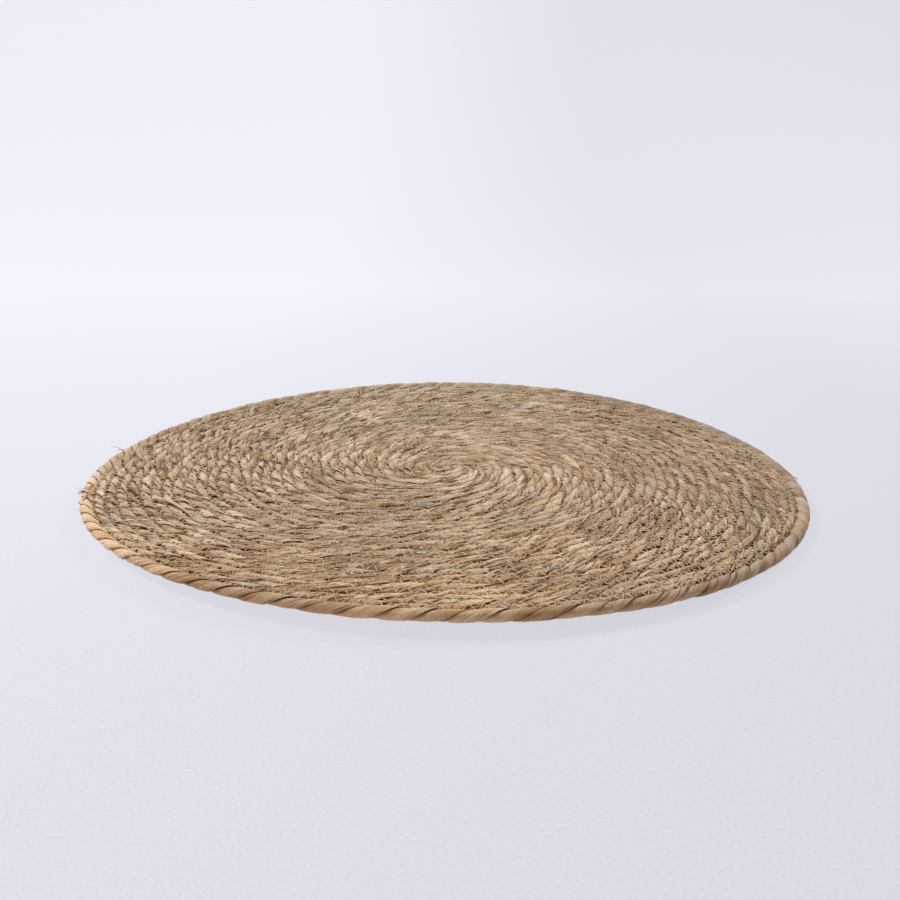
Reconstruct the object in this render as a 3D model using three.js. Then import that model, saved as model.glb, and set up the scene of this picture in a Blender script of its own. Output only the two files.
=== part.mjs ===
// A round placemat of palm leaf: one twisted cord wound flat in a spiral and sewn side to side,
// with a smoother two-strand rope of wide strips sewn on round its edge. Millimetres, +Z up.
// The origin is on the surface under the middle of the mat.
import * as THREE from "three";

// Driving dimensions
const MAT_RADIUS = 190; // to the outside of the rim rope
const ROPE_WIDTH = 6.3; // the rim rope seen from above
const ROPE_HEIGHT = 5.5; // the rim rope seen from the side
const ROPE_LAY = 13.5; // from one strand's crown to the next along the rim
const ROPE_CREASE = 0.27; // how deep the strands part, as a share of the rope's half size
const ROPE_END_GAP = 1.2; // between the rope's two ends, where they meet
const END_AT = 196; // degrees round from +X: where the rope's ends meet and the coil's cord runs out
const SEWN_GAP = 0.3; // between the coil and the rope
const ROW = 5.5; // width of one turn of the coil
const COIL_HEIGHT = 5.0; // at the crown of a turn
const VALLEY_DEPTH = 1.7; // of the seam between two turns
const COIL_BEVEL = 1.1; // how far the coil's edge draws in at the bottom
const STATION = 12.5; // between two points along the cord
const WIDEST_STATION = 45; // degrees, near the middle
const FLAT_RADIUS = 80; // the middle of the mat lies flat on the surface
const RIM_LIFT = 5.8; // how far the rim rises off the surface where it rises most
const LIFT_AT = 78; // degrees: it rises most there and on the opposite side
const LIFT_CURVE = 1.7; // 1 rises evenly from the flat middle, more keeps the rise near the rim
const UNEVEN = 0.45; // how much the crowns differ in height

// Derived dimensions
const COIL_RADIUS = MAT_RADIUS - ROPE_WIDTH - SEWN_GAP;
const ROPE_RADIUS = MAT_RADIUS - ROPE_WIDTH / 2;
const TURN = 2 * Math.PI;
const radians = THREE.MathUtils.degToRad;

// How high the underside stands off the surface at a radius and an angle.
function lift(radius, angle) {
  const outward = Math.max(0, radius - FLAT_RADIUS) / (MAT_RADIUS - FLAT_RADIUS);
  const round = (1 + Math.cos(2 * (angle - radians(LIFT_AT)))) / 2;
  return RIM_LIFT * round * outward ** LIFT_CURVE;
}

// A number from -1 to 1 that looks random and is the same each time for the same place along the cord.
function uneven(place) {
  const mixed = Math.sin(place * 12.9898 + 4.1) * 43758.5453;
  return 2 * (mixed - Math.floor(mixed)) - 1;
}

// Collects points and triangles, and makes the mesh of one piece.
class Skin {
  points = [];
  faces = [];

  // Adds a point by its radius, its angle and its height over the underside, and gives its number.
  add(radius, angle, height) {
    const x = radius * Math.cos(angle);
    const y = radius * Math.sin(angle);
    this.points.push(x, y, Math.max(0, lift(radius, angle) + height));
    return this.points.length / 3 - 1;
  }

  face(a, b, c) {
    const isFlat = a === b || b === c || c === a;
    if (!isFlat) this.faces.push(a, b, c);
  }

  // Joins two lines of points that run side by side, each given as [number, angle], whatever their spacing.
  // Seen from the outside of the piece, the line "right" lies to the right of the line "left".
  zip(left, right) {
    let i = 0;
    let j = 0;
    while (i < left.length - 1 || j < right.length - 1) {
      const leftNext = i < left.length - 1 ? left[i + 1][1] : Infinity;
      const rightNext = j < right.length - 1 ? right[j + 1][1] : Infinity;
      if (leftNext <= rightNext) {
        this.face(left[i][0], right[j][0], left[i + 1][0]);
        i += 1;
      } else {
        this.face(left[i][0], right[j][0], right[j + 1][0]);
        j += 1;
      }
    }
  }

  mesh(name, material) {
    const geometry = new THREE.BufferGeometry();
    geometry.setAttribute("position", new THREE.Float32BufferAttribute(this.points, 3));
    geometry.setIndex(this.faces);
    geometry.computeVertexNormals();
    const mesh = new THREE.Mesh(geometry, material);
    mesh.name = name;
    return mesh;
  }
}

// The radius of the seam on the outside of the turn at this angle of winding. The last turn ends against
// the rope, so the seam stops growing there and the cord's end tapers away.
function seamRadius(winding) {
  return Math.min(ROW * (winding / TURN + 0.5), COIL_RADIUS);
}

// The angles of winding at which the coil has points, from one angle to another.
function windings(from, to) {
  const list = [from];
  while (list[list.length - 1] < to) {
    const last = list[list.length - 1];
    const step = Math.min(radians(WIDEST_STATION), STATION / Math.max(seamRadius(last), 1));
    list.push(last + step);
  }
  list[list.length - 1] = to;
  return list;
}

// The coil: the upper side has a line of crown points along the middle of the cord and a line of seam points
// that each turn shares with the next. The underside is smooth, and flat where it rests.
function makeCoil(material) {
  const skin = new Skin();
  const rimStart = TURN * (COIL_RADIUS / ROW - 0.5); // the seam reaches the coil's edge here
  const startAngle = radians(END_AT) - rimStart;
  const ends = [-TURN / 2, 0, TURN / 2, rimStart, rimStart + TURN];
  const places = [ends[0]];
  for (let k = 1; k < ends.length; k += 1) places.push(...windings(ends[k - 1], ends[k]).slice(1));
  const middle = skin.add(0, 0, COIL_HEIGHT);

  const seamHeight = COIL_HEIGHT - VALLEY_DEPTH;
  const edgeHeight = COIL_HEIGHT / 2;
  const seam = [];
  for (const winding of places) {
    const isEdge = winding >= rimStart;
    const isTip = winding === rimStart + TURN;
    const radius = seamRadius(winding);
    let number = middle;
    if (isTip) number = seam.find((entry) => entry[1] === rimStart)[0];
    else if (radius > 0) number = skin.add(radius, startAngle + winding, isEdge ? edgeHeight : seamHeight);
    seam.push([number, winding]);
  }

  const crown = [];
  for (const winding of places.filter((place) => place >= 0)) {
    const isTip = winding === rimStart + TURN;
    const inner = winding < TURN / 2 ? 0 : seamRadius(winding - TURN);
    const outer = seamRadius(winding);
    const radius = winding < TURN / 2 ? (ROW * winding) / TURN : (inner + outer) / 2;
    const taper = Math.min(1, (outer - inner) / ROW);
    const height = seamHeight + (VALLEY_DEPTH + UNEVEN * uneven(winding)) * taper;
    let number = middle;
    if (isTip) number = seam[seam.length - 1][0];
    else if (radius > 0) number = skin.add(radius, startAngle + winding, height);
    crown.push([number, winding]);
  }

  const seamFromStart = seam.filter((entry) => entry[1] >= 0);
  skin.zip(crown, seamFromStart);
  const nextCrown = crown.filter((entry) => entry[1] >= TURN / 2).map((entry) => [entry[0], entry[1] - TURN]);
  const innerSeam = seam.filter((entry) => entry[1] <= rimStart);
  skin.zip(innerSeam, nextCrown);
  const firstCrown = crown.filter((entry) => entry[1] <= TURN / 2);
  skin.zip([[middle, 0]], firstCrown);
  const firstSeam = seam.filter((entry) => entry[1] <= 0);
  skin.zip([[middle, -TURN / 2]], firstSeam);

  const edge = seam.filter((entry) => entry[1] >= rimStart);
  let outerRing = edge;
  let radius = COIL_RADIUS - COIL_BEVEL;
  let count = edge.length - 1;
  while (radius > 0) {
    const ring = [];
    for (let k = 0; k < count; k += 1) {
      const winding = rimStart + (TURN * k) / count;
      ring.push([skin.add(radius, startAngle + winding, 0), winding]);
    }
    ring.push([ring[0][0], rimStart + TURN]);
    skin.zip(outerRing, ring);
    outerRing = ring;
    const isRaised = radius > FLAT_RADIUS;
    const nextRadius = radius * 0.82;
    radius = isRaised && nextRadius < FLAT_RADIUS ? FLAT_RADIUS : nextRadius;
    if (!isRaised) radius = radius > FLAT_RADIUS / 2 ? FLAT_RADIUS / 2 : 0;
    count = Math.max(12, Math.round(count * 0.8));
  }
  const bottom = skin.add(0, 0, 0);
  skin.zip(outerRing, [[bottom, rimStart]]);
  return skin.mesh("coil", material);
}

// The rim rope: a flattened section that turns by one corner at each station, so that the crowns of its two
// strands and the creases between them wind round it.
function makeRimRope(material) {
  const skin = new Skin();
  const corners = 8;
  const stationsPerLay = corners / 2;
  const endAngle = radians(END_AT);
  const halfGap = ROPE_END_GAP / 2 / ROPE_RADIUS;
  const length = TURN * ROPE_RADIUS - ROPE_END_GAP;
  const stations = Math.round(length / ROPE_LAY) * stationsPerLay;
  const crease = ROPE_CREASE;
  const reach = [1, 1 - crease * 0.25, 1 - crease, 1 - crease * 0.25];

  const rings = [];
  for (let s = 0; s <= stations; s += 1) {
    const angle = endAngle + halfGap + ((TURN - 2 * halfGap) * s) / stations;
    const ring = [];
    for (let k = 0; k < corners; k += 1) {
      const turn = (TURN * k) / corners;
      const share = reach[(k + stations - s) % stationsPerLay];
      const out = (ROPE_WIDTH / 2) * share * Math.cos(turn);
      const up = (ROPE_HEIGHT / 2) * (1 + share * Math.sin(turn));
      ring.push(skin.add(ROPE_RADIUS + out, angle, up));
    }
    rings.push(ring);
  }

  for (let s = 0; s < stations; s += 1) {
    for (let k = 0; k < corners; k += 1) {
      const next = (k + 1) % corners;
      const near = rings[s];
      const far = rings[s + 1];
      skin.face(near[next], near[k], far[next]);
      skin.face(near[k], far[k], far[next]);
    }
  }
  const first = rings[0];
  const last = rings[stations];
  for (let k = 1; k < corners - 1; k += 1) {
    skin.face(first[0], first[k], first[k + 1]);
    skin.face(last[0], last[k + 1], last[k]);
  }
  return skin.mesh("rim_rope", material);
}

const coilLeaf = new THREE.MeshStandardMaterial({ color: 0xad9377, roughness: 0.9, metalness: 0 });
const ropeLeaf = new THREE.MeshStandardMaterial({ color: 0xb59468, roughness: 0.75, metalness: 0 });

const mat = new THREE.Group();
mat.add(makeCoil(coilLeaf));
mat.add(makeRimRope(ropeLeaf));

export default mat;
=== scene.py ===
"""A round placemat of palm leaf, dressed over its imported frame: a twisted leaf cord wound flat and sewn with
a zigzag thread, and a smoother leaf rope round its edge. Sizes are in millimetres, and place() makes them
metres."""
import math
from types import SimpleNamespace

import bmesh
import bpy
import numpy as np
from mathutils import Matrix, Vector


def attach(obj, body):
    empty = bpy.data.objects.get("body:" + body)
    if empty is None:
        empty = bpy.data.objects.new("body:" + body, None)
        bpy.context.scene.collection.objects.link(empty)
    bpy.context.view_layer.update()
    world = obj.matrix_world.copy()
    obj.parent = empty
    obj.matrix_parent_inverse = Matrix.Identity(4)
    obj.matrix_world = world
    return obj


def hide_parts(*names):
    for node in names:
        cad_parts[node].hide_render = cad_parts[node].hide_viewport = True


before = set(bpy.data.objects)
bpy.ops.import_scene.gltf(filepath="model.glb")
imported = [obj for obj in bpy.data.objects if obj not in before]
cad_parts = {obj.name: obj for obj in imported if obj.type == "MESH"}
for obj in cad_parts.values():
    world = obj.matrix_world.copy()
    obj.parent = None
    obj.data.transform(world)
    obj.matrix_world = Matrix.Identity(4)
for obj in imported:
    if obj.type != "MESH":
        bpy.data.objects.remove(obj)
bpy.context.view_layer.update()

MM = 0.001
TURN = 2 * math.pi

# Sizes that the frame's source has too
MAT_RADIUS = 190.0  # to the outside of the rim rope
ROPE_WIDTH = 6.3
ROPE_HEIGHT = 5.5
ROPE_LAY = 13.5  # from one strand's crown to the next along the rope
ROPE_END_GAP = 1.2
END_AT = math.radians(196)  # where the rope's ends meet and the coil's cord runs out
SEWN_GAP = 0.3  # between the coil and the rope
ROW = 5.5  # width of one turn of the coil
COIL_HEIGHT = 5.0
FLAT_RADIUS = 80.0
RIM_LIFT = 5.8
LIFT_AT = math.radians(78)
LIFT_CURVE = 1.7
COIL_RADIUS = MAT_RADIUS - ROPE_WIDTH - SEWN_GAP
ROPE_RADIUS = MAT_RADIUS - ROPE_WIDTH / 2
RIM_START = TURN * (COIL_RADIUS / ROW - 0.5)
START_ANGLE = END_AT - RIM_START
LAST_WINDING = RIM_START + TURN

# The coil's cord
CORD_LAY = 16.5  # from one strand's crown to the next along the cord
CORD_START = 0.15  # the first ring of points, along the cord
CORD_SHARES = (0.0, 0.05, 0.16, 0.30, 0.44, 0.58, 0.72, 0.85, 0.95)  # where each strand has lines of points
CORD_TUCK = 0.55  # how deep a strand's edge is tucked under the next, as a share of the cord's half width
CORD_SPLIT = 0.13  # how deep the furrow between two strips of a strand may be, as the same share
SIDE_PRESS = 1.00  # where a turn's side touches the next one, as a share of the cord's half width
CORD_PRESS = 0.18  # how far neighbouring turns press into each other
ZONE_EDGES = (0.0, 98.0, 143.5, MAT_RADIUS)  # radii where the cord's mesh is parted
ZONE_STEPS = (1.3, 1.3, 1.48)  # between two rings of points along the cord, in each of the three meshes

# How far the rows stray from true circles, and over which length
ROW_WANDER, WANDER_LENGTH = 0.55, 38.0  # all rows of a place together
ROW_SWELL, SWELL_LENGTH = 0.60, 7.3  # a single seam, which makes one row wider and the next narrower
ROW_KNEAD, KNEAD_LENGTH = 0.40, 7.7  # where the sewing pulls
STRAY_START = 20.0  # they stray fully from this radius outwards
STRAY_END = 180.0  # and run true from this one
STRAY_FADE = 14.0  # which they come to over this length

# The rim rope
ROPE_STEP = 1.2  # between two rings of points
ROPE_SHARES = (0.0, 0.03, 0.08, 0.16, 0.26, 0.36, 0.46, 0.56, 0.66, 0.76, 0.85, 0.92, 0.97)
ROPE_TUCK = 0.31  # as CORD_TUCK
ROPE_SPLIT = 0.14  # as CORD_SPLIT
ROPE_EVEN = 0.45  # how much more alike its passes are than the cord's
ROPE_FURROW = 0.55  # how deep the sewing draws the rope down along its needle holes
ROPE_LENGTH = TURN * ROPE_RADIUS - ROPE_END_GAP

# The sewing
STITCH = 2.85  # along the seam, from one needle hole to the next
STITCH_REACH = 2.3  # from the seam out to a needle hole
FIRST_STITCH_RADIUS = 3.6
THREAD_RADIUS = 0.19
THREAD_BENDS = (0.0, 0.22, 0.78)  # from one needle hole to the next, where the upper thread has points
THREAD_IN_HOLE = -0.6  # its height over the leaf at a hole
THREAD_LOWEST = -0.34  # its height between two holes, where it lies calmest
THREAD_STANDING = 0.66  # how much higher it lies where it stands out
UNDER_THREAD_BENDS = (0.0, 0.5)  # the same for the lower thread
UNDER_THREAD_IN_HOLE = 0.9  # its height over the underside at a hole
RIM_HOLE_REACH = (2.4, 1.5)  # the reach from the rim rope's seam, on the coil and on the rope

# Loose strips of leaf on the cord
STRIP_COUNT = 1800
STRIP_STATIONS = 8  # places along a strip that have points
RIBBON_STATIONS = 6
HAIRS = 320
GRAIN_SHIFT = 0.37  # in metres, from one strip's grain to the next one's, so that no two look alike

# The photograph's view, as fitted to the mat's outline
VIEW_LENS = 38.28
VIEW_DISTANCE = 531.0
VIEW_ELEVATION = math.radians(18.29)
VIEW_ROLL = math.radians(-0.60)
VIEW_ASIDE = math.radians(-0.24)
VIEW_UP = math.radians(1.53)

# The surface that it lies on, which sweeps up behind it. Its sizes are in metres
SWEEP_WIDTH = 12.0
SWEEP_START = 0.9
SWEEP_RADIUS = 1.4
# the floor's own colour is dark, and a glow of painted light makes it pale
FLOOR_COLOURS = ((82, 82, 86), (86, 86, 90))
FLOOR_GLOW = 7.75


# Uneven numbers

def jumble(i, j, seed):
    """Numbers from 0 to 1 that look random, and are the same each time for the same places."""
    mixed = np.sin(i * 12.9898 + j * 78.233 + seed * 37.719) * 43758.5453
    return mixed - np.floor(mixed)


def ripple(u, v, seed):
    """Smooth uneven numbers from -1 to 1, with a fresh one at each whole u and v."""
    i, j = np.floor(u), np.floor(v)
    a, b = u - i, v - j
    a, b = a * a * (3 - 2 * a), b * b * (3 - 2 * b)
    near = jumble(i, j, seed) * (1 - a) + jumble(i + 1, j, seed) * a
    far = jumble(i, j + 1, seed) * (1 - a) + jumble(i + 1, j + 1, seed) * a
    return 2 * (near * (1 - b) + far * b) - 1


def ripple_along(u, seed):
    """The same along a single line."""
    return ripple(u, u * 0, seed)


def swell(share):
    """Goes smoothly from 0 to 1 as the share does, and stays there outside."""
    share = np.clip(share, 0, 1)
    return share * share * (3 - 2 * share)


# The mat's form

def lift(radius, angle):
    """How high the underside stands off the surface, as in the frame's source."""
    outward = np.maximum(0, radius - FLAT_RADIUS) / (MAT_RADIUS - FLAT_RADIUS)
    return RIM_LIFT * (1 + np.cos(2 * (angle - LIFT_AT))) / 2 * outward ** LIFT_CURVE


def stray(radius, angle):
    """How far the sewing draws a place outwards. The very middle and the rim stay where they are."""
    x, y = radius * np.cos(angle), radius * np.sin(angle)
    wander = ROW_WANDER * ripple(x / WANDER_LENGTH + 7, y / WANDER_LENGTH + 3, 31)
    swelling = ROW_SWELL * ripple(radius / SWELL_LENGTH, 4 * np.sin(angle + 0.7), 32)
    knead = ROW_KNEAD * ripple(x / KNEAD_LENGTH, y / KNEAD_LENGTH, 33)
    inside = np.clip((STRAY_END - radius) / STRAY_FADE, 0, 1) * np.clip(radius / STRAY_START, 0, 1)
    return inside * (wander + swelling + knead)


def place(radius, angle, height):
    """Points in metres, from radius and angle on the mat and height over its underside."""
    radius = radius + stray(radius, angle)
    height = lift(radius, angle) + height
    return np.stack([radius * np.cos(angle), radius * np.sin(angle), height], -1) * MM


def seam_radius(winding):
    """The radius of the seam on the outside of a turn."""
    return np.minimum(ROW * (winding / TURN + 0.5), COIL_RADIUS)


def row_middle(winding):
    """The radius of the cord's middle line, and the cord's half width there."""
    inner, outer = seam_radius(winding - TURN), seam_radius(winding)
    is_first = winding < TURN / 2
    middle = np.where(is_first, ROW * winding / TURN, (inner + outer) / 2)
    half = np.where(is_first, ROW / 2, (outer - inner) / 2)
    return middle, half


def winding_at(along):
    """The angle of winding at a length along the cord."""
    return np.sqrt(2 * TURN * np.maximum(along, 0) / ROW)


def along_at(winding):
    """The length along the cord at an angle of winding."""
    return ROW * winding ** 2 / (2 * TURN)


# The cord's skin

def cord_turns(along):
    """How many times the cord has been twisted, up to a length along it."""
    uneven = 0.085 * ripple_along(along / 19, 3) + 0.12 * ripple_along(along / 47, 4)
    drift = 4.2 * ripple_along(along / 500, 6)
    return along / (2 * CORD_LAY) + uneven + drift


def strand_lay(turns, section):
    """Which pass of a strand covers a place (whole part), and where across that pass it is (the rest)."""
    return section / math.pi - 2 * turns


def lay_form(lay, tuck, split_depth, seed, even=0.0):
    """Height across a strand's pass, as a share: a lip where it covers the last pass, then a crown, then
    a fall to where the next pass covers it, and a furrow between two of its strips. Each pass has its own
    lip, crown, fall and furrow, which differ less if even is more."""
    number = np.floor(lay)
    across = lay - number
    lip = 0.04 + 0.14 * jumble(number, 0, seed)
    tuck = tuck * (0.35 + even + (0.95 - 1.3 * even) * jumble(number, 0, seed + 1))
    crown = 0.24 + 0.26 * jumble(number, 0, seed + 2)
    rise = lip * np.clip(1 - across / crown, 0, 1) ** 2
    fall = tuck * np.clip((across - crown) / (1 - crown), 0, 1) ** 2.2
    split_at = 0.3 + 0.45 * jumble(number, 0, seed + 4)
    split = split_depth * jumble(number, 0, seed + 5) * np.exp(-((across - split_at) / 0.11) ** 2)
    return 1 - rise - fall - split + (0.11 - 0.1 * even) * (2 * jumble(number, 0, seed + 3) - 1)


def at_front(angle, radius):
    """1 at the front of the mat, where the cord lies calmer and the sewing stands out, else 0."""
    return swell((-np.sin(angle) - 0.35) / 0.5) * swell((radius - 30) / 80)


def cord_reach(along, section):
    """How far the skin stands off the cord's middle line, as a share of its half width."""
    lay = strand_lay(cord_turns(along), section)
    crumple = 0.05 * ripple(lay * 1.7, along / 7, 21) + 0.055 * ripple(lay * 4.1, along / 2.7, 22)
    winding = winding_at(along)
    tuck = CORD_TUCK * (1 - 0.45 * at_front(winding + START_ANGLE, ROW * winding / TURN))
    return lay_form(lay, tuck, CORD_SPLIT, 11) + crumple


def cord_taper(winding):
    """Draws the cord in at its two ends."""
    _, half = row_middle(winding)
    start = np.sqrt(np.clip(along_at(winding) / 2.5, 0.02, 1))
    return np.minimum(start, np.clip(half / 1.5, 0.05, 1))


def cord_height(along):
    """The cord's height, which is a little uneven along it."""
    return COIL_HEIGHT * (1 + 0.05 * ripple_along(along / 23, 41) + 0.05 * ripple_along(along / 90, 42))


def pressed_side(section):
    """1 on the lower half of a cord's sides, where the sewing holds it against the next turn."""
    return swell((0.35 - np.sin(section)) / 0.25) * swell((np.abs(np.cos(section)) - 0.45) / 0.3)


def cord_skin(along, section, proud=0.0, least=0.0):
    """Radius, angle and height of places on the cord's skin, or proud of it."""
    winding = winding_at(along)
    middle, half = row_middle(winding)
    taper = cord_taper(winding)
    reach = np.maximum(cord_reach(along, section), least)
    under = swell((-0.1 - np.sin(section)) / 0.3)
    reach = reach + 0.85 * under * (0.93 - reach)
    reach = np.maximum(reach, SIDE_PRESS * pressed_side(section))
    out = (half + CORD_PRESS) * reach + proud * taper
    up = cord_height(along) / 2 * reach + proud
    radius = np.maximum(middle + out * np.cos(section), 0.05)
    height = cord_height(along) / 2 + up * np.sin(section)
    height = COIL_HEIGHT / 2 + (height - COIL_HEIGHT / 2) * taper
    return radius, winding + START_ANGLE, np.maximum(height, 0.02)


def cord_top(winding, radius, least=0.0):
    """The height of the cord's top at a radius on that turn."""
    along = along_at(winding)
    middle, half = row_middle(winding)
    aside = np.clip((radius - middle) / np.maximum(half, 0.3), -0.96, 0.96)
    section = np.arccos(aside)
    reach = np.maximum(cord_reach(along, section), least)
    section = np.arccos(np.clip(aside / reach, -0.97, 0.97))
    reach = np.maximum(cord_reach(along, section), least)
    rise = cord_height(along) / 2 * reach * np.sin(section) * cord_taper(winding)
    return COIL_HEIGHT / 2 + rise


# The rope's skin

rope_places = np.linspace(0, ROPE_LENGTH, int(ROPE_LENGTH / ROPE_STEP) + 1)


def rope_twist_table():
    """Turns of the rope up to each place: twisted harder at the back left, and a little so at the right."""
    share = rope_places / ROPE_LENGTH
    hard = swell(1 - np.abs(share - 0.93) / 0.11)
    right = swell(1.5 - np.abs(share - 0.38) / 0.12)
    rate = (1 + 0.45 * hard + 0.09 * right) / (2 * ROPE_LAY)
    steps = np.concatenate([[0], np.cumsum((rate[1:] + rate[:-1]) / 2 * np.diff(rope_places))])
    return steps + 0.055 * ripple_along(rope_places / 21, 5)


rope_turn_table = rope_twist_table()


def rope_turns(along):
    """How many times the rope has been twisted, up to a length along it."""
    return np.interp(along, rope_places, rope_turn_table)


def rope_reach(along, section):
    """How far the skin stands off the rope's middle line, as a share of its half size."""
    lay = strand_lay(rope_turns(along), section)
    crumple = 0.03 * ripple(lay * 2.6, along / 15, 23)
    return lay_form(lay, ROPE_TUCK, ROPE_SPLIT, 15, ROPE_EVEN) + crumple


def rope_sewn_in(along, radius):
    """How the sewing draws the rope's top down along the needle holes, and roughens it inside them."""
    holes_at = COIL_RADIUS + SEWN_GAP / 2 + RIM_HOLE_REACH[1]
    furrow = -ROPE_FURROW * np.exp(-((radius - holes_at) / 0.8) ** 2)
    inside = swell((holes_at + 0.4 - radius) / 0.9)
    return furrow + inside * 0.30 * ripple(along / 3.1, radius / 1.7, 26)


def rope_skin(along, section):
    """Radius, angle and height of places on the rope's skin."""
    reach = rope_reach(along, section)
    ends = np.minimum(along, ROPE_LENGTH - along)
    taper = np.sqrt(np.clip((ends + 0.4) / 3.0, 0, 1))
    inside = np.where(np.cos(section) < 0, 1.12 * pressed_side(section), 0)
    out = ROPE_WIDTH / 2 * np.maximum(reach, inside) * taper
    up = ROPE_HEIGHT / 2 * reach * taper
    angle = END_AT + (along + ROPE_END_GAP / 2) / ROPE_RADIUS
    height = ROPE_HEIGHT / 2 + up * np.sin(section)
    radius = ROPE_RADIUS + out * np.cos(section)
    height = height + rope_sewn_in(along, radius) * np.clip(np.sin(section), 0, 1)
    return radius, angle, np.maximum(height, 0.02)


def rope_top(angle, radius):
    """The height of the rope's top at a radius and an angle on the mat."""
    along = np.mod(angle - END_AT, TURN) * ROPE_RADIUS - ROPE_END_GAP / 2
    along = np.clip(along, 0, ROPE_LENGTH)
    aside = np.clip((radius - ROPE_RADIUS) / (ROPE_WIDTH / 2), -0.96, 0.96)
    section = np.arccos(aside)
    top = ROPE_HEIGHT / 2 * (1 + rope_reach(along, section) * np.sin(section))
    return top + rope_sewn_in(along, radius)


# Meshes from arrays of points

def ring_faces(rings, count):
    """Quads round a tube of rings, each of count points that run from outside over the top."""
    ring, point = np.meshgrid(np.arange(rings - 1), np.arange(count), indexing="ij")
    following = (point + 1) % count
    near, far = ring * count, (ring + 1) * count
    quads = np.stack([near + point, far + point, far + following, near + following], -1)
    return quads.reshape(-1, 4)


def make_piece(name, points, faces, finish, coordinates=None, values=None):
    """A smooth piece from points, arrays of faces (each of one size), UV pairs for the faces' corners, and
    values for the points."""
    mesh = bpy.data.meshes.new(name)
    corners = np.concatenate([block.reshape(-1) for block in faces])
    sizes = np.concatenate([np.full(len(block), block.shape[1]) for block in faces])
    starts = np.concatenate([[0], np.cumsum(sizes)[:-1]])
    mesh.vertices.add(len(points))
    mesh.vertices.foreach_set("co", points.reshape(-1).astype(np.float32))
    mesh.loops.add(len(corners))
    mesh.loops.foreach_set("vertex_index", corners.astype(np.int32))
    mesh.polygons.add(len(sizes))
    mesh.polygons.foreach_set("loop_start", starts.astype(np.int32))
    mesh.polygons.foreach_set("use_smooth", np.ones(len(sizes), dtype=bool))
    mesh.update(calc_edges=True)
    mesh.validate()
    if coordinates is not None:
        layer = mesh.uv_layers.new(name="leaf_run")
        layer.data.foreach_set("uv", coordinates.reshape(-1).astype(np.float32))
    for title, numbers in (values or {}).items():
        attribute = mesh.attributes.new(title, "FLOAT", "POINT")
        attribute.data.foreach_set("value", numbers.reshape(-1).astype(np.float32))
    piece = bpy.data.objects.new(name, mesh)
    bpy.context.scene.collection.objects.link(piece)
    mesh.materials.append(finish)
    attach(piece, "root")
    return piece


def strand_coordinates(along, lays, rounds):
    """UV pairs for the corners of a tube's quads: the metres along it, then the strand's pass (whole part)
    and the place across it. The pass's number changes on the underside."""
    near = lays[None, :] - 2 * rounds[:-1]
    far = np.append(lays[1:], 2.0)[None, :] - 2 * rounds[:-1]
    start = along[:-1, None] * MM + 0 * near
    end = along[1:, None] * MM + 0 * near
    corners = [np.stack(pair, -1) for pair in ((start, near), (end, near), (end, far), (start, far))]
    return np.stack(corners, 2).reshape(-1, 2)


def tube_piece(name, along, shares, turns, skin, finish):
    """A closed tube of two twisted strands along the cord or the rope, with lines of points along them."""
    lays = np.concatenate([np.array(shares), np.array(shares) + 1])
    count = len(lays)
    unwound = math.pi * (lays[None, :] + 2 * turns(along)[:, None])
    rounds = np.floor(unwound / TURN + 0.25)
    section = unwound - TURN * rounds
    radius, angle, height = skin(along[:, None], section)
    points = place(radius, angle + 0 * radius, height).reshape(-1, 3)
    ends = np.array([points[:count].mean(0), points[-count:].mean(0)])

    last = len(points) - count
    point = np.arange(count)
    following = (point + 1) % count
    start_cap = np.stack([np.full(count, len(points)), point, following], -1)
    end_cap = np.stack([np.full(count, len(points) + 1), last + following, last + point], -1)
    faces = [ring_faces(len(along), count), start_cap, end_cap]
    cap_coordinates = np.zeros((6 * count, 2))
    coordinates = np.concatenate([strand_coordinates(along, lays, rounds), cap_coordinates])
    aside = np.abs(np.cos(section))
    upper = swell((np.sin(section) - 0.4) / 0.6)
    values = {"aside": np.append(aside.reshape(-1), [0, 0]), "upper": np.append(upper.reshape(-1), [0, 0])}
    return make_piece(name, np.concatenate([points, ends]), faces, finish, coordinates, values)


def closed_strips(count, stations):
    """The quads and the end faces of closed strips, each with three lines of points at so many stations."""
    each = stations * 3
    first = (np.arange(count) * each)[:, None, None]
    quads = ring_faces(stations, 3)[:, ::-1]
    caps = np.array([[0, 1, 2], [each - 1, each - 2, each - 3]])
    return (quads[None] + first).reshape(-1, 4), (caps[None] + first).reshape(-1, 3)


# Finishes

def rgb(red, green, blue):
    """A colour as the shader reads it, from its usual numbers of 0 to 255."""
    linear = [((c / 255 + 0.055) / 1.055) ** 2.4 if c > 10 else c / 255 / 12.92 for c in (red, green, blue)]
    return (*linear, 1.0)


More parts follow.
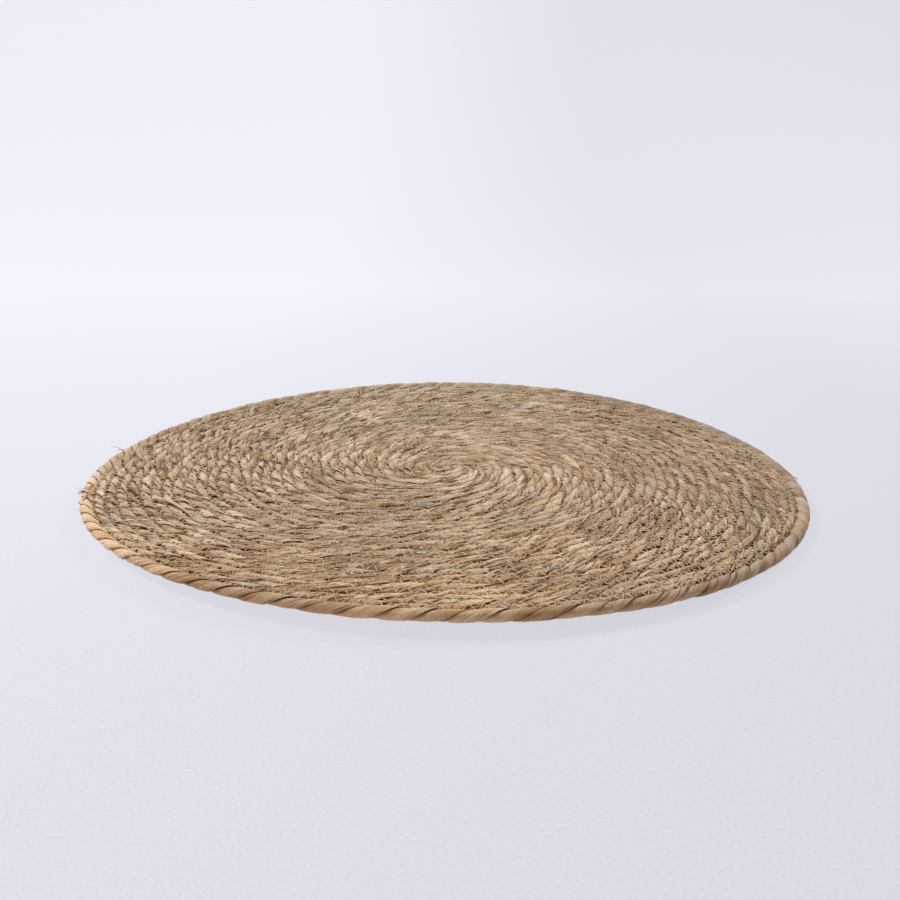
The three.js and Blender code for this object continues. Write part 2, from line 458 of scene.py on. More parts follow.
class Finish:
    """A material, with short ways to add its nodes."""

    def __init__(self, name, roughness, specular=0.04):
        self.material = bpy.data.materials.new(name)
        self.material.use_nodes = True
        self.tree = self.material.node_tree
        self.shader = self.tree.nodes["Principled BSDF"]
        self.shader.inputs["Roughness"].default_value = roughness
        self.shader.inputs["Specular IOR Level"].default_value = specular

    def feed(self, socket, value):
        """Links another node's output to a socket, or sets the socket's own value."""
        if isinstance(value, bpy.types.NodeSocket):
            self.tree.links.new(value, socket)
        else:
            socket.default_value = value

    def node(self, kind, **settings):
        node = self.tree.nodes.new(kind)
        for key, value in settings.items():
            setattr(node, key, value)
        return node

    def math(self, operation, *values):
        node = self.node("ShaderNodeMath", operation=operation)
        for socket, value in zip(node.inputs, values):
            self.feed(socket, value)
        return node.outputs[0]

    def between(self, value, low, high, to_low=0.0, to_high=1.0, smooth=True):
        """Goes from one number to another as a value goes from low to high."""
        node = self.node("ShaderNodeMapRange", interpolation_type="SMOOTHSTEP" if smooth else "LINEAR")
        for title, number in (("Value", value), ("From Min", low), ("From Max", high),
                              ("To Min", to_low), ("To Max", to_high)):
            self.feed(node.inputs[title], number)
        return node.outputs[0]

    def vector(self, x, y):
        node = self.node("ShaderNodeCombineXYZ")
        for socket, value in zip(node.inputs, (x, y)):
            self.feed(socket, value)
        return node.outputs[0]

    def noise(self, vector, scale=1.0, detail=2.0, roughness=0.5):
        node = self.node("ShaderNodeTexNoise")
        self.feed(node.inputs["Vector"], vector)
        node.inputs["Scale"].default_value = scale
        node.inputs["Detail"].default_value = detail
        node.inputs["Roughness"].default_value = roughness
        return node.outputs["Fac"]

    def cells(self, vector, scale):
        """The distance from the middle of the nearest cell, about 0.7 in the corners between cells."""
        node = self.node("ShaderNodeTexVoronoi", feature="F1")
        self.feed(node.inputs["Vector"], vector)
        node.inputs["Scale"].default_value = scale
        return node.outputs["Distance"]

    def random(self, number, seed):
        """A number from 0 to 1 that looks random, for each whole number."""
        node = self.node("ShaderNodeTexWhiteNoise", noise_dimensions="2D")
        self.feed(node.inputs["Vector"], self.vector(number, seed))
        return node.outputs["Value"]

    def first_two(self, vector):
        """The first two numbers of a vector."""
        parts = self.node("ShaderNodeSeparateXYZ")
        self.feed(parts.inputs[0], vector)
        return parts.outputs[0], parts.outputs[1]

    def leaf_run(self):
        """The metres along the leaf, and the place across it."""
        return self.first_two(self.node("ShaderNodeUVMap", uv_map="leaf_run").outputs[0])

    def grain(self, along, across, rate_along, rate_across, detail=2.0):
        """Noise that is drawn out along the leaf."""
        run = self.math("MULTIPLY", along, rate_along)
        return self.noise(self.vector(run, self.math("MULTIPLY", across, rate_across)), detail=detail)

    def place_on_mat(self):
        return self.node("ShaderNodeTexCoord").outputs["Object"]

    def attribute(self, title):
        return self.node("ShaderNodeAttribute", attribute_name=title).outputs["Fac"]

    def ramp(self, value, stops):
        node = self.node("ShaderNodeValToRGB")
        elements = node.color_ramp.elements
        while len(elements) < len(stops):
            elements.new(0.5)
        for element, (position, colour) in zip(elements, stops):
            element.position = position
            element.color = rgb(*colour)
        self.feed(node.inputs[0], value)
        return node.outputs[0]

    def mix(self, share, low, high, blend="MIX"):
        node = self.node("ShaderNodeMix", data_type="RGBA", blend_type=blend)
        self.feed(node.inputs["Factor"], share)
        self.feed(node.inputs[6], low)
        self.feed(node.inputs[7], high)
        return node.outputs[2]

    def darken(self, colour, share):
        """Scales a colour by a share, which may be over 1."""
        node = self.node("ShaderNodeVectorMath", operation="SCALE")
        self.feed(node.inputs[0], colour)
        self.feed(node.inputs["Scale"], share)
        return node.outputs[0]

    def tint(self, colour, share, tint):
        """Multiplies a colour by a tint, as far as the share says."""
        return self.mix(share, colour, (*tint, 1), "MULTIPLY")

    def bump(self, height, depth):
        """Raises the surface by a height of 0 to 1, times a depth in millimetres."""
        node = self.node("ShaderNodeBump")
        node.inputs["Strength"].default_value = 1.0
        node.inputs["Distance"].default_value = depth * MM
        self.feed(node.inputs["Height"], height)
        self.tree.links.new(node.outputs[0], self.shader.inputs["Normal"])

    def colour(self, colour):
        self.feed(self.shader.inputs["Base Color"], colour)


LEAF_COLOURS = (
    (0.00, (88, 61, 39)),
    (0.16, (143, 112, 82)),
    (0.36, (184, 153, 119)),
    (0.60, (209, 181, 149)),
    (0.84, (226, 202, 171)),
    (1.00, (239, 220, 194)),
)
# Painted shade: the dark brown laid into creases, low on the cord's sides and between knots. The thin dark
# flecks take it as their own colour.
CREASE_SHADE_AND_FLECK_COLOUR = (84, 44, 18)
SILVER = (198, 190, 178)
SILVER_SHARE = 0.06  # of the passes of a strand
# painted shade at the back of the mat
BACK_SHADE_TINT = (0.85, 0.87, 0.92)
TONE_WEIGHTS = SimpleNamespace(strip=0.16, vein=0.55, fibre=0.60, patch=0.45)
TONE_SHIFT = -0.51  # brings the sum of those to the middle of the leaf's colours
PATCH_RATE = 75  # patches of paler and darker leaf in a metre
KNOT_RATE = 195  # knots in a metre
SPECKLE_RATE = 1000  # fine speckles in a metre
BLOTCH_RATE = 22  # wide blotches in a metre

COIL_LOOK = SimpleNamespace(
    strips=3.0,  # strips of leaf side by side in a strand's pass
    fibres_along=45.0,  # how often the fibres change along it, a metre
    folds_along=260.0,  # how often the fine cracks do
    pass_contrast=0.44,  # how much the passes differ in tone
    crown=0.09,  # how much paler a pass is along its crown than at its edges: painted highlight and shade, with some wear
    flecks=0.6,  # how dark the thin dark fibres are
    crack=0.30,  # how deep the fine cracks are, and how dark their painted shade is
    crease=(0.0, 0.6),  # the least and most of the leaf's own colour that shows through the painted shade where a pass goes under the next one
    crease_from=0.86,  # where across the pass that painted shade begins
    valley=0.1,  # how much of its colour shows through the painted shade at the ends of a crease, low on the cord's sides
    knots=1.0,  # how strongly it is kneaded into knots at the left and the right of the mat
    stain=0.22,  # how much paler and darker the blotches are
    top_sheen_and_weathering=0.25,  # how grey the top is in places, partly from weathering and partly as a painted highlight
    # painted light and shade by side of the mat, with a little age
    front_shade_tint=(1.0, 0.94, 0.86),
    left_light_tint=(1.12, 1.12, 1.12),
    right_shade_tint=(0.80, 0.76, 0.73),
)
ROPE_LOOK = SimpleNamespace(
    strips=3.0,
    fibres_along=20.0,
    folds_along=70.0,
    pass_contrast=0.30,
    crown=0.05,
    flecks=0.75,
    crack=0.07,
    crease=(0.0, 0.1),
    crease_from=0.93,
    valley=0.7,
    knots=0.0,
    stain=0.16,
    top_sheen_and_weathering=0.5,
    front_shade_tint=(0.90, 0.82, 0.73),
    left_light_tint=(1.32, 1.29, 1.25),
    right_shade_tint=(0.72, 0.72, 0.76),
)


def leaf_patterns(finish, look):
    """The patterns that the leaf's colour and its relief share."""
    along, lay = finish.leaf_run()
    on_mat = finish.place_on_mat()
    x, y = finish.first_two(on_mat)
    number = finish.math("FLOOR", lay)
    sway = finish.math("SUBTRACT", finish.noise(on_mat, 180), 0.5)
    folds = finish.grain(along, lay, look.folds_along, look.strips * 2.3, detail=1)
    return SimpleNamespace(
        on_mat=on_mat, x=x, y=y, number=number,
        across=finish.math("SUBTRACT", lay, number),
        aside=finish.attribute("aside"),
        split=finish.math("MULTIPLY", finish.math("MULTIPLY_ADD", sway, 0.22, lay), look.strips),
        vein=finish.grain(along, lay, look.fibres_along, look.strips * 2.0),
        fibre=finish.grain(along, lay, look.fibres_along * 2.0, look.strips * 6.0),
        spot=finish.grain(along, lay, look.fibres_along * 2.5, look.strips * 3.5),
        fold=finish.math("ABSOLUTE", finish.math("MULTIPLY_ADD", folds, 2.0, -1.0)),
        patch=finish.noise(on_mat, PATCH_RATE),
        knot=finish.cells(on_mat, KNOT_RATE),
        kneaded=finish.between(finish.math("ABSOLUTE", x), 0.03, 0.11, 0.0, look.knots),
    )


def leaf_tone(finish, look, pattern):
    """How pale the leaf is, by its pass, its strip, its veins and fibres, and patches of the mat, with painted
    light that makes each pass paler along its crown and darker at its edges. However much the passes differ,
    their middle tone stays the same."""
    pass_tone = finish.random(pattern.number, 3.0)
    strip_tone = finish.random(finish.math("FLOOR", pattern.split), 9.0)
    tone = finish.math("MULTIPLY_ADD", pass_tone, look.pass_contrast, (0.38 - look.pass_contrast) / 2)
    tone = finish.math("MULTIPLY_ADD", strip_tone, TONE_WEIGHTS.strip, tone)
    tone = finish.math("MULTIPLY_ADD", pattern.vein, TONE_WEIGHTS.vein, tone)
    tone = finish.math("MULTIPLY_ADD", pattern.fibre, TONE_WEIGHTS.fibre, tone)
    tone = finish.math("MULTIPLY_ADD", pattern.patch, TONE_WEIGHTS.patch, tone)
    # painted light: each pass paler along its crown and darker towards its edges, with some wear
    from_crown = finish.math("ABSOLUTE", finish.math("SUBTRACT", pattern.across, 0.42))
    at_crown, at_edge = look.crown + TONE_SHIFT, -1.1 * look.crown + TONE_SHIFT
    return finish.math("ADD", tone, finish.between(from_crown, 0.05, 0.5, at_crown, at_edge))


def painted_shade_factor(finish, look, pattern):
    """Painted shade, as a factor on the leaf's colour: 1 where the leaf lies open, and less in creases, low on
    the sides and in the hollows between knots.
    """
    covered = finish.between(finish.noise(pattern.on_mat, 210), 0.42, 0.62, *look.crease)
    # painted shade where a pass goes under the next one, and a little at its lip
    under_next = finish.between(pattern.across, look.crease_from, 0.98, 1.0, covered)
    over_last = finish.between(pattern.across, 0.0, 0.03, 0.75, 1.0)
    near_crease = finish.math("ABSOLUTE", finish.math("SUBTRACT", pattern.across, 0.5))
    crease_end = finish.between(near_crease, 0.22, 0.46, 0.30, 1.0)
    # painted shade at the ends of the creases, low on the cord's sides
    deep = finish.math("MULTIPLY", finish.between(pattern.aside, 0.68, 0.98), crease_end)
    # painted shade in the hollows between the knots, at the mat's left and right
    between_knots = finish.between(pattern.knot, 0.47, 0.74)
    hollow = finish.math("MULTIPLY", between_knots, finish.between(pattern.aside, 0.38, 0.80))
    hollow = finish.math("MULTIPLY", hollow, pattern.kneaded)
    unshaded = finish.math("MULTIPLY", under_next, over_last)
    unshaded = finish.math("MULTIPLY", unshaded, finish.between(deep, 0.0, 1.0, 1.0, look.valley))
    return finish.math("MULTIPLY", unshaded, finish.between(hollow, 0.0, 0.8, 1.0, 0.08))


def leaf_colour(finish, look, pattern):
    """The leaf's colour, with silver strips, grey tops that are partly weathering and partly painted
    highlight, painted shade in the creases and cracks, flecks and blotches.
    """
    silver, crease = rgb(*SILVER), rgb(*CREASE_SHADE_AND_FLECK_COLOUR)
    leaf = finish.ramp(leaf_tone(finish, look, pattern), LEAF_COLOURS)
    chosen = finish.between(finish.random(pattern.number, 21.0), 0.99 - SILVER_SHARE, 1.01 - SILVER_SHARE)
    chosen = finish.math("MULTIPLY", chosen, finish.between(pattern.vein, 0.36, 0.56))
    leaf = finish.mix(finish.math("MULTIPLY", chosen, 0.75), leaf, silver)
    # grey patches on the tops: partly weathering, partly painted highlight
    top_sheen_and_weathering_patches = finish.between(pattern.patch, 0.42, 0.66, 0.0, look.top_sheen_and_weathering)
    leaf = finish.mix(finish.math("MULTIPLY", finish.attribute("upper"), top_sheen_and_weathering_patches), leaf, silver)
    # painted shade in the creases, low on the sides and between the knots
    leaf = finish.mix(painted_shade_factor(finish, look, pattern), crease, leaf)
    leaf = finish.mix(finish.between(pattern.spot, 0.28, 0.42, 1 - look.flecks, 1.0), crease, leaf)
    # painted shade in the fine cracks
    leaf = finish.darken(leaf, finish.between(pattern.fold, 0.0, 0.09, 1 - look.crack, 1.0))
    speckles = finish.noise(pattern.on_mat, SPECKLE_RATE)
    leaf = finish.darken(leaf, finish.between(speckles, 0.3, 0.7, 0.84, 1.15, smooth=False))
    blotches = finish.noise(pattern.on_mat, BLOTCH_RATE, detail=3)
    blotches = finish.between(blotches, 0.3, 0.7, 1 - look.stain, 1 + look.stain, smooth=False)
    return finish.darken(leaf, blotches)


def leaf_with_painted_light(finish, look, pattern, leaf):
    """Painted light and shade over the mat, with a little age: the leaf is darker and warmer at the front,
    darker at the back, paler at the left front and darker at the right.
    """
    at_left_front = finish.math("MULTIPLY", finish.between(pattern.x, -0.06, -0.18),
                                finish.between(pattern.y, 0.03, -0.03))
    # painted light and shade: darker and warmer at the front, darker at the back, paler at the left front,
    # darker at the right
    leaf = finish.tint(leaf, finish.between(pattern.y, -0.06, -0.19), look.front_shade_tint)
    leaf = finish.tint(leaf, finish.between(pattern.y, 0.02, 0.16), BACK_SHADE_TINT)
    leaf = finish.tint(leaf, at_left_front, look.left_light_tint)
    return finish.tint(leaf, finish.between(pattern.x, 0.04, 0.17), look.right_shade_tint)


def leaf_relief(finish, look, pattern):
    """Strip edges, crumples, veins, cracks, knots and fibres, as the height for the bump."""
    knob = finish.math("MULTIPLY", finish.math("MULTIPLY", pattern.knot, pattern.knot), pattern.kneaded)
    height = finish.math("MULTIPLY", finish.math("FRACT", pattern.split), 0.4)
    height = finish.math("MULTIPLY_ADD", finish.noise(pattern.on_mat, 420), 0.9, height)
    height = finish.math("MULTIPLY_ADD", pattern.vein, 0.8, height)
    height = finish.math("MULTIPLY_ADD", pattern.fold, 4 * look.crack, height)
    height = finish.math("MULTIPLY_ADD", knob, -3.6, height)
    return finish.math("MULTIPLY_ADD", pattern.fibre, 0.5, height)


def strand_leaf_finish(name, look):
    """Dry palm leaf on twisted strands: each pass of a strand has its own tone, and is split into strips."""
    finish = Finish(name, roughness=0.62)
    pattern = leaf_patterns(finish, look)
    leaf = leaf_colour(finish, look, pattern)
    finish.colour(leaf_with_painted_light(finish, look, pattern, leaf))
    finish.bump(leaf_relief(finish, look, pattern), depth=0.55)
    return finish.material


def strip_leaf_finish():
    """Dry palm leaf on a loose strip, with its tone as a value of its points."""
    finish = Finish("loose_strip_leaf", roughness=0.6)
    along, across = finish.leaf_run()
    fibre = finish.noise(finish.vector(finish.math("MULTIPLY", along, 160.0), across), 1, 3, 0.65)
    tone = finish.math("MULTIPLY", finish.attribute("strip_tone"), 0.75)
    tone = finish.math("MULTIPLY_ADD", fibre, 0.55, tone)
    leaf = finish.ramp(finish.math("ADD", tone, -0.15), LEAF_COLOURS)
    silver = finish.between(finish.attribute("strip_silver"), 0.955, 0.985, 0.0, 0.7)
    finish.colour(finish.mix(silver, leaf, rgb(*SILVER)))
    finish.bump(fibre, depth=0.2)
    return finish.material


def thread_finish():
    """Cream sewing thread, slightly flecked."""
    finish = Finish("cream_thread", roughness=0.5)
    fleck = finish.noise(finish.place_on_mat(), 700)
    finish.colour(finish.ramp(fleck, ((0.3, (208, 187, 152)), (0.7, (238, 222, 194)))))
    return finish.material


def floor_finish():
    """A pale surface whose glow is painted light, as on one lit from all round, brightest at the left and the
    back.
    """
    finish = Finish("pale_surface", roughness=0.8, specular=0.1)
    on_floor = finish.place_on_mat()
    x, y = finish.first_two(on_floor)
    colour = finish.ramp(finish.noise(on_floor, 900), ((0.2, FLOOR_COLOURS[0]), (0.8, FLOOR_COLOURS[1])))
    finish.colour(colour)
    # painted light: the glow is brighter at the left and the back, weaker at the right and the front, and it
    # lightens the shadows on the floor
    aside = finish.between(x, -0.20, 0.30, FLOOR_GLOW + 0.45, FLOOR_GLOW - 0.75, smooth=False)
    behind = finish.between(y, -0.33, 0.8, -0.7, 0.6, smooth=False)
    finish.feed(finish.shader.inputs["Emission Color"], colour)
    finish.feed(finish.shader.inputs["Emission Strength"], finish.math("ADD", aside, behind))
    return finish.material


# The sewing

def needle_holes():
    """Windings and radii of the needle holes, from the middle out and once round the rim rope, and whether
    each is in a seam of the coil's own."""
    first_winding = TURN * (FIRST_STITCH_RADIUS / ROW - 0.5)
    seam_start = along_at(first_winding + TURN / 2)
    seam_length = along_at(RIM_START + TURN / 2)
    rim_length = TURN * COIL_RADIUS
    number = np.arange(int((seam_length + rim_length - seam_start) / STITCH))
    places = seam_start + STITCH * (number + 0.32 * (jumble(number, 0, 51) - 0.5))
    on_coil = places < seam_length
    on_rim = RIM_START + (places - seam_length) / COIL_RADIUS
    winding = np.where(on_coil, winding_at(places) - TURN / 2, on_rim)
    side = np.where(number % 2 == 0, 1.0, -1.0)
    reach = STITCH_REACH * (1 + 0.13 * (2 * jumble(number, 0, 52) - 1))
    rim_reach = np.where(side < 0, *RIM_HOLE_REACH) * (0.94 + 0.12 * jumble(number, 0, 53))
    seam = np.where(on_coil, seam_radius(winding), COIL_RADIUS + SEWN_GAP / 2)
    radius = seam + side * np.where(on_coil, reach, rim_reach)
    return winding, radius, on_coil


hole_winding, hole_radius, hole_on_coil = needle_holes()


def thread_over_height(winding, radius, share):
    """How high the upper thread lies at a share of the way from each hole to the next: sunk into the leaf
    at the holes, and on it between them, where it stands out most at the front of the mat."""
    outside = radius > np.where(hole_on_coil[:-1], seam_radius(winding), COIL_RADIUS)
    on_rope = outside & ((winding >= RIM_START) | (radius > COIL_RADIUS))
    cord_turn = np.where(outside & ~on_rope, winding + TURN, winding)
    least = 0.9 if share > 0 else 0.0
    leaf_top = np.where(on_rope, rope_top(winding + START_ANGLE, radius), cord_top(cord_turn, radius, least))
    front = at_front(winding + START_ANGLE, radius)
    standing = swell(-0.1 + 0.9 * front + 0.8 * ripple_along(winding * 3.1, 71))
    return leaf_top + (THREAD_IN_HOLE if share == 0 else THREAD_LOWEST + THREAD_STANDING * standing)


def thread_line(over):
    """Points along the zigzag thread over the mat, or along the one under it."""
    points = []
    for share in THREAD_BENDS if over else UNDER_THREAD_BENDS:
        winding = hole_winding[:-1] * (1 - share) + hole_winding[1:] * share
        radius = hole_radius[:-1] * (1 - share) + hole_radius[1:] * share
        if over:
            height = thread_over_height(winding, radius, share)
        else:
            height = UNDER_THREAD_IN_HOLE if share == 0 else THREAD_RADIUS + 0.03
        points.append(place(radius, winding + START_ANGLE, height + 0 * radius))
    return np.stack(points, 1).reshape(-1, 3)


def thread_piece(name, finish, over):
    """The zigzag thread over the mat, or the one under it, as a thin tube with three corners."""
    line = thread_line(over)
    tangent = np.gradient(line, axis=0)
    tangent /= np.linalg.norm(tangent, axis=1)[:, None]
    aside = np.cross(tangent, [0, 0, 1.0])
    aside /= np.linalg.norm(aside, axis=1)[:, None]
    up = np.cross(aside, tangent)
    corners = np.radians([90, 210, 330])
    ring = np.cos(corners)[None, :, None] * aside[:, None] + np.sin(corners)[None, :, None] * up[:, None]
    points = line[:, None] + ring * THREAD_RADIUS * MM
    quads, caps = closed_strips(1, len(line))
    return make_piece(name, points.reshape(-1, 3), [quads, caps], finish)


# Loose strips of leaf

def strips_mesh(name, finish, points, pairs, tones, silvers):
    """Closed strips, from points and UV pairs by strip, station and line of points. Each strip has a tone,
    and a number that makes it silver if it is near 1."""
    count, stations = points.shape[:2]
    quads, caps = closed_strips(count, stations)
    pairs = pairs.reshape(-1, 2)
    coordinates = np.concatenate([pairs[quads.reshape(-1)], pairs[caps.reshape(-1)]])
    each = 3 * stations
    values = {"strip_tone": np.repeat(tones, each), "strip_silver": np.repeat(silvers, each)}
    return make_piece(name, points.reshape(-1, 3), [quads, caps], finish, coordinates, values)


def strips_piece(name, finish):
    """Narrow strips that lie over the cord's strands, arched across, with their tips tucked in or lifted."""
    number = np.arange(STRIP_COUNT)[:, None]
    share = np.linspace(0, 1, STRIP_STATIONS)[None, :]
    length = 10 + 14 * jumble(number, 0, 64) ** 1.5
    width = 0.8 + 2.0 * jumble(number, 0, 65) ** 2
    outline = np.sin(math.pi * np.clip(share, 0.07, 0.93)) ** 0.6
    arch = 0.10 + 0.12 * jumble(number, 0, 67)
    is_lifted = np.where(jumble(number, 0, 66) > 0.93, 1.0, 0.0)
    proud = 0.12 - 0.62 * (2 * np.abs(share - 0.5)) ** 4 + is_lifted * np.clip(share - 0.6, 0, 1) * 2.6

    run = (share - 0.5) * length
    bend = 0.35 * (2 * jumble(number, 0, 68) - 1) * (share - 0.5) ** 2
    heading = np.radians(16 + 20 * jumble(number, 0, 63)) + bend
    # From near the cord's start to a little before its end
    along = 12 + (along_at(LAST_WINDING) - 200) * (number + jumble(number, 0, 61)) / STRIP_COUNT
    along = along + run * np.cos(heading)
    section = math.radians(90) + math.radians(66) * (2 * jumble(number, 0, 62) - 1)
    section = section + run * np.sin(heading) / (ROW / 2)
    points, pairs = [], []
    for aside, raised in ((-0.5, 0.0), (0.5, 0.0), (0.0, 1.0)):
        offset = aside * width * outline
        line_along = along - offset * np.sin(heading)
        line_section = section + offset * np.cos(heading) / (ROW / 2)
        points.append(place(*cord_skin(line_along, line_section, proud + raised * arch, least=0.8)))
        pairs.append(np.stack([run * MM + number * GRAIN_SHIFT, offset * 3 + 0 * run], -1))
    tones, silvers = jumble(number, 0, 69), jumble(number, 0, 70)
    return strips_mesh(name, finish, np.stack(points, 2), np.stack(pairs, 2), tones, silvers)


def ribbons_piece(name, finish, roots, tips, bows, widths, thickness, tones):
    """Tapered strips or hairs from roots to tips, bowed aside and up by vectors, all in metres."""
    share = np.linspace(0, 1, RIBBON_STATIONS)
    bowed = (4 * share * (1 - share))[None, :, None] * bows[:, None, :]
    line = roots[:, None] + (tips - roots)[:, None] * share[None, :, None] + bowed
    run = np.gradient(line, axis=1)
    run /= np.linalg.norm(run, axis=2)[..., None]
    aside = np.cross(run, [0, 0, 1.0])
    aside /= np.maximum(np.linalg.norm(aside, axis=2), 1e-6)[..., None]
    above = np.cross(aside, run)
    narrowing = (1 - share ** 2 * 0.85)[None, :, None]
    wide = aside * widths[:, None, None] / 2 * narrowing
    points = np.stack([line - wide, line + wide, line + above * thickness * MM], 2)
    shift = np.arange(len(roots))[:, None, None] * GRAIN_SHIFT
    grain_along = share[None, :, None] * 0.02 + shift + np.zeros(3)
    grain_across = np.array([0.0, 1.0, 0.5]) + 0 * grain_along
    return strips_mesh(name, finish, points, np.stack([grain_along, grain_across], -1), tones, 0 * tones)


# Strips that have come loose, as radius, angle in degrees and height at the root and at the tip, then how
# far they bow aside and up, their width, and their tone from dark to pale
LOOSE_ENDS = (
    (187.5, 194.6, 4.4, 191.2, 195.4, 3.6, 0.3, 0.5, 2.0, 0.00),  # the dark tip of the rope's end
    (187.0, 195.6, 4.6, 191.0, 194.9, 4.4, -0.2, 0.6, 1.3, 0.10),
    (188.0, 197.2, 3.0, 190.6, 200.2, 3.4, 0.2, 0.4, 1.6, 0.35),
    (186.5, 197.0, 5.2, 188.4, 200.8, 5.6, 0.3, 0.5, 2.2, 0.55),
    (185.5, 195.2, 5.4, 183.4, 193.6, 6.6, 0.3, 0.8, 1.6, 0.20),
    (186.2, 196.8, 5.4, 184.0, 198.8, 6.4, 0.0, 0.9, 1.2, 0.30),
    (184.5, 195.9, 4.8, 181.0, 196.6, 6.0, 0.4, 0.8, 1.0, 0.05),
    (181.5, 199.6, 5.2, 168.0, 198.4, 5.4, 0.6, 0.8, 1.1, 0.20),  # a long one across the rows
    (188.6, 171.6, 4.0, 190.2, 173.2, 5.6, 0.4, 0.7, 1.5, 0.25),
    (188.0, 172.2, 4.2, 193.5, 173.2, 7.6, -0.9, 0.6, 0.30, 0.75),
    (188.5, -2.2, 3.8, 191.6, -3.4, 3.4, 0.2, 0.4, 1.5, 0.00),
    (163.0, 208.0, 5.3, 161.5, 214.5, 5.6, 0.6, 1.1, 1.2, 0.10),
    (151.0, 204.0, 5.2, 146.0, 217.5, 5.4, 0.8, 1.0, 1.6, 0.75),
    (117.0, -30.0, 5.0, 119.5, -41.0, 5.4, 0.5, 1.0, 1.4, 0.15),
    (62.0, 20.0, 5.2, 58.0, 41.0, 5.2, 0.8, 0.8, 1.4, 0.80),
    (96.0, 118.0, 5.0, 101.0, 131.0, 5.4, -0.8, 1.0, 1.5, 0.70),
    (140.0, 158.0, 5.0, 133.0, 167.0, 5.4, 0.8, 1.2, 1.6, 0.60),
)


def loose_ends_piece(name, finish):
    """The frayed strips where the rope's two ends meet, and a few others that have come loose."""
    table = np.array(LOOSE_ENDS)
    roots = place(table[:, 0], np.radians(table[:, 1]), table[:, 2])
    tips = place(table[:, 3], np.radians(table[:, 4]), table[:, 5])
    bow_aside, bow_up, widths, tones = table[:, 6:7], table[:, 7:8], table[:, 8] * MM, table[:, 9]
    way = tips - roots
    aside = np.stack([-way[:, 1], way[:, 0], 0 * way[:, 0]], -1)
    aside /= np.linalg.norm(aside, axis=1)[:, None]
    bows = (aside * bow_aside + np.array([0, 0, 1.0]) * bow_up) * MM
    return ribbons_piece(name, finish, roots, tips, bows, widths, thickness=0.25, tones=tones)


def hairs_piece(name, finish):
    """Fine fibres that stand off the cord here and there."""
    number = np.arange(HAIRS)
    along = along_at(LAST_WINDING) * (number + jumble(number, 0, 92)) / HAIRS
    section = math.radians(90) + math.radians(60) * (2 * jumble(number, 0, 93) - 1)
    roots = place(*cord_skin(along, section, -0.3))
    heading = TURN * jumble(number, 0, 94)
    length = (4 + 9 * jumble(number, 0, 95) ** 2) * MM
    rise = 0.25 + 0.5 * jumble(number, 0, 96)
    way = np.stack([np.cos(heading), np.sin(heading), rise * 0.5], -1)
    tips = roots + way * length[:, None]
    bows = np.stack([-np.sin(heading), np.cos(heading), rise], -1) * (length * 0.22)[:, None]
    widths = np.full(HAIRS, 0.2 * MM)
    tones = 0.5 + 0.5 * jumble(number, 0, 97)
    return ribbons_piece(name, finish, roots, tips, bows, widths, thickness=0.14, tones=tones)


# Putting the mat together

coil_leaf = strand_leaf_finish("coil_cord_leaf", COIL_LOOK)
rope_leaf = strand_leaf_finish("rim_rope_leaf", ROPE_LOOK)
loose_leaf = strip_leaf_finish()
thread = thread_finish()

for zone, (inner, outer) in enumerate(zip(ZONE_EDGES[:-1], ZONE_EDGES[1:])):
    from_along = along_at(TURN * inner / ROW) if zone else CORD_START
    to_along = min(along_at(TURN * outer / ROW), along_at(LAST_WINDING))
    stations = np.linspace(from_along, to_along, int((to_along - from_along) / ZONE_STEPS[zone]) + 1)
    piece = tube_piece(f"coil_cord_{zone + 1}", stations, CORD_SHARES, cord_turns, cord_skin, coil_leaf)
    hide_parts("coil")

rim_rope = tube_piece("rim_rope_leaves", rope_places, ROPE_SHARES, rope_turns, rope_skin, rope_leaf)
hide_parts("rim_rope")

strips = strips_piece("loose_strips", loose_leaf)
loose_ends = loose_ends_piece("loose_ends", loose_leaf)
hairs = hairs_piece("stray_hairs", loose_leaf)
thread_over = thread_piece("zigzag_thread_over", thread, over=True)
thread_under = thread_piece("zigzag_thread_under", thread, over=False)


# Floor, camera and light

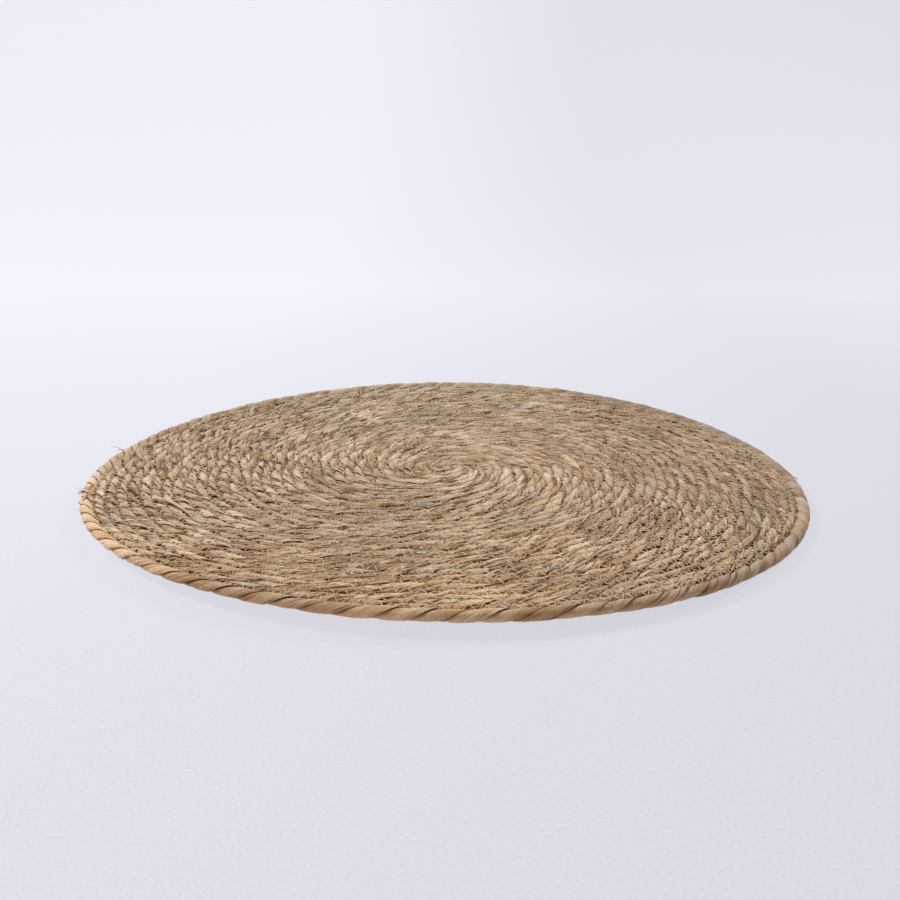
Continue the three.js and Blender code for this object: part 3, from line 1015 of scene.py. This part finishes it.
def make_floor():
    """A pale surface that sweeps up behind the mat."""
    bpy.ops.object.select_all(action="DESELECT")
    bpy.ops.mesh.primitive_plane_add(size=SWEEP_WIDTH, location=(0, SWEEP_START - SWEEP_WIDTH / 2, 0))
    floor = bpy.context.object
    floor.name = "pale_floor"
    bpy.ops.object.mode_set(mode="EDIT")
    edit = bmesh.from_edit_mesh(floor.data)
    bpy.ops.mesh.select_all(action="DESELECT")
    bpy.ops.mesh.select_mode(type="EDGE")
    back = max(edit.edges, key=lambda edge: min(vert.co.y for vert in edge.verts))
    back.select_set(True)
    bmesh.update_edit_mesh(floor.data)
    middle = (0, SWEEP_START, SWEEP_RADIUS)
    bpy.ops.mesh.spin(steps=24, angle=math.radians(-90), center=middle, axis=(1, 0, 0))
    bpy.ops.object.mode_set(mode="OBJECT")
    bpy.ops.object.transform_apply(location=True, rotation=False, scale=False)
    bpy.ops.object.shade_smooth()
    floor.data.materials.append(floor_finish())


def make_camera():
    """The photograph's view: f 957 pixels on a frame of 900."""
    back = Vector((0, -math.cos(VIEW_ELEVATION), math.sin(VIEW_ELEVATION)))
    ahead, right = -back, Vector((1, 0, 0))
    up = right.cross(ahead)
    aside = Matrix.Rotation(VIEW_ASIDE, 3, up)
    ahead, right = aside @ ahead, aside @ right
    tilt = Matrix.Rotation(VIEW_UP, 3, right)
    ahead, up = tilt @ ahead, tilt @ up
    roll = Matrix.Rotation(VIEW_ROLL, 3, ahead)
    right, up = roll @ right, roll @ up
    data = bpy.data.cameras.new("photo_view")
    data.lens = VIEW_LENS
    data.sensor_width = 36
    data.clip_start, data.clip_end = 0.01, 50
    camera = bpy.data.objects.new("photo_view", data)
    turned = Matrix((right, up, -ahead)).transposed().to_4x4()
    camera.matrix_world = Matrix.Translation(back * VIEW_DISTANCE * MM) @ turned
    bpy.context.scene.collection.objects.link(camera)
    bpy.context.scene.camera = camera


def make_light(name, location, size, power, colour=(1, 1, 1)):
    """A soft square light that points at the middle of the mat."""
    data = bpy.data.lights.new(name, "AREA")
    data.size = size
    data.energy = power
    data.color = colour
    light = bpy.data.objects.new(name, data)
    light.location = location
    light.rotation_euler = (-Vector(location)).to_track_quat("-Z", "Y").to_euler()
    bpy.context.scene.collection.objects.link(light)


def make_world():
    """An even and slightly warm light from all round."""
    world = bpy.data.worlds.new("studio")
    world.use_nodes = True
    background = world.node_tree.nodes["Background"]
    background.inputs["Color"].default_value = (0.97, 0.93, 0.89, 1)
    background.inputs["Strength"].default_value = 0.33
    bpy.context.scene.world = world


make_floor()
make_camera()
make_light("key_left", (-1.4, 0.2, 1.35), size=0.5, power=27)
make_light("fill_back_right", (1.3, 0.9, 1.3), size=0.7, power=19)
make_light("fill_front", (-0.5, -1.9, 0.9), size=1.5, power=6, colour=(1.0, 0.88, 0.75))
make_world()
bpy.context.scene.view_settings.view_transform = "Standard"
